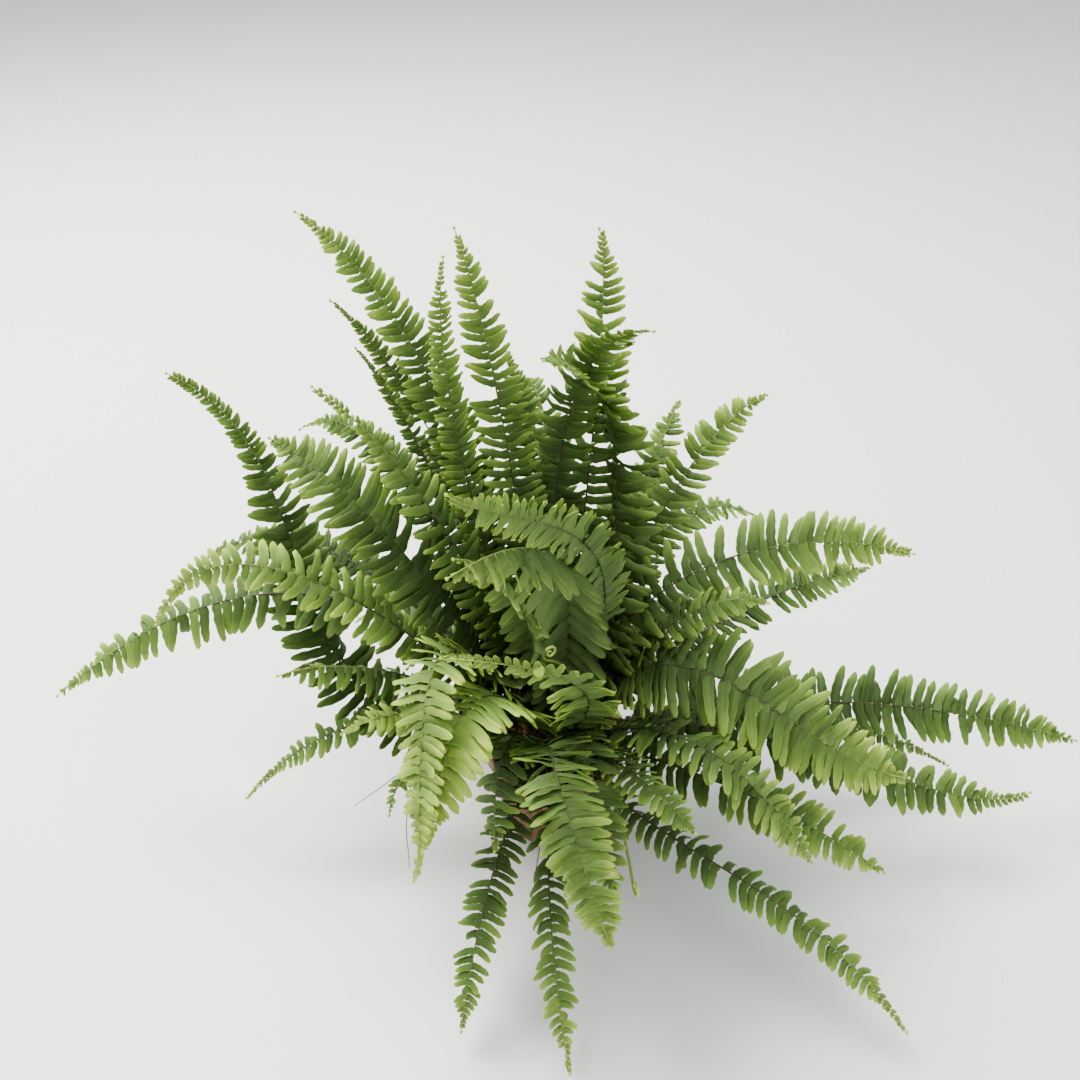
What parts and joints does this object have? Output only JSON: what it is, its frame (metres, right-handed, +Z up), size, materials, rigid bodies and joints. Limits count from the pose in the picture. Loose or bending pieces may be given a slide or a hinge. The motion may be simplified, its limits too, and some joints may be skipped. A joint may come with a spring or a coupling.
{
  "type": "potted fern",
  "caption": "Potted sword fern: a round tapered nursery pot with soil and a crown of arching, drooping pinnate fronds.",
  "frame": {"origin": "centre of the pot's flat base, on the surface that the pot stands on", "axes": "+Z up out of the pot; +X along the plant's widest spread, to the right when seen from the front; -Y is the front"},
  "size_m": [0.8499, 0.4465, 0.4874],
  "materials": {
    "pot_plastic": "satin",
    "potting_soil": "matt, crumbly",
    "crown_fibre": "matt, fibrous",
    "frond_mature": "satin leaf, deep green",
    "frond_middle": "satin leaf, mid green",
    "frond_young": "satin leaf, yellow-green",
    "runner": "matt, thin and hairy"
  },
  "bodies": {
    "root": {"pot": "pot_plastic", "soil": "potting_soil", "crown": "crown_fibre", "runner_left": "runner", "runner_left_hanging": "runner", "runner_front": "runner", "crozier_front": "frond_young", "crozier_centre": "frond_young", "frond_left_arched": "frond_mature", "frond_left_longest": "frond_middle", "frond_left_pale": "frond_young", "frond_left_broad": "frond_mature", "frond_left_curled": "frond_middle", "frond_rear_left_tall": "frond_middle", "frond_top_left": "frond_middle", "frond_top_long": "frond_middle", "frond_top_right": "frond_middle", "frond_nodding_right": "frond_mature", "frond_nodding_left": "frond_mature", "frond_front_nodding": "frond_middle", "frond_front_shaded": "frond_mature", "frond_right_rear_tall": "frond_middle", "frond_right_bright": "frond_middle", "frond_right_broad": "frond_middle", "frond_right_longest": "frond_mature", "frond_right_curly": "frond_mature", "frond_right_slip": "frond_mature", "frond_right_front": "frond_middle", "frond_right_front_upper": "frond_middle", "frond_right_front_long": "frond_middle", "frond_front_bright": "frond_young", "frond_front_bright_low": "frond_young", "frond_front_centre": "frond_middle", "frond_front_inner": "frond_mature", "frond_front_slant": "frond_mature", "frond_front_long": "frond_middle", "frond_front_left_long": "frond_mature", "frond_front_left_small": "frond_mature", "frond_left_low_thin": "frond_middle", "frond_left_low_pale": "frond_young", "frond_young_front": "frond_young", "frond_inner_short": "frond_mature", "frond_rear_left_low": "frond_mature", "frond_rear_left_short": "frond_mature", "frond_rear_left_thin": "frond_mature", "frond_rear_left_slip": "frond_mature", "frond_rear_peeping": "frond_mature", "frond_rear_right_dim": "frond_mature", "frond_right_rear_low": "frond_mature", "frond_rear_low_right": "frond_mature", "frond_rear_low_middle": "frond_mature", "frond_rear_low_left": "frond_mature", "frond_rear_low_far_left": "frond_mature", "frond_rear_mid_right": "frond_mature", "frond_rear_centre": "frond_mature", "frond_rear_right_mid": "frond_mature", "frond_right_inner": "frond_mature", "frond_left_inner": "frond_mature", "frond_centre_left": "frond_mature", "frond_front_left_short": "frond_mature"}
  },
  "joints": []
}
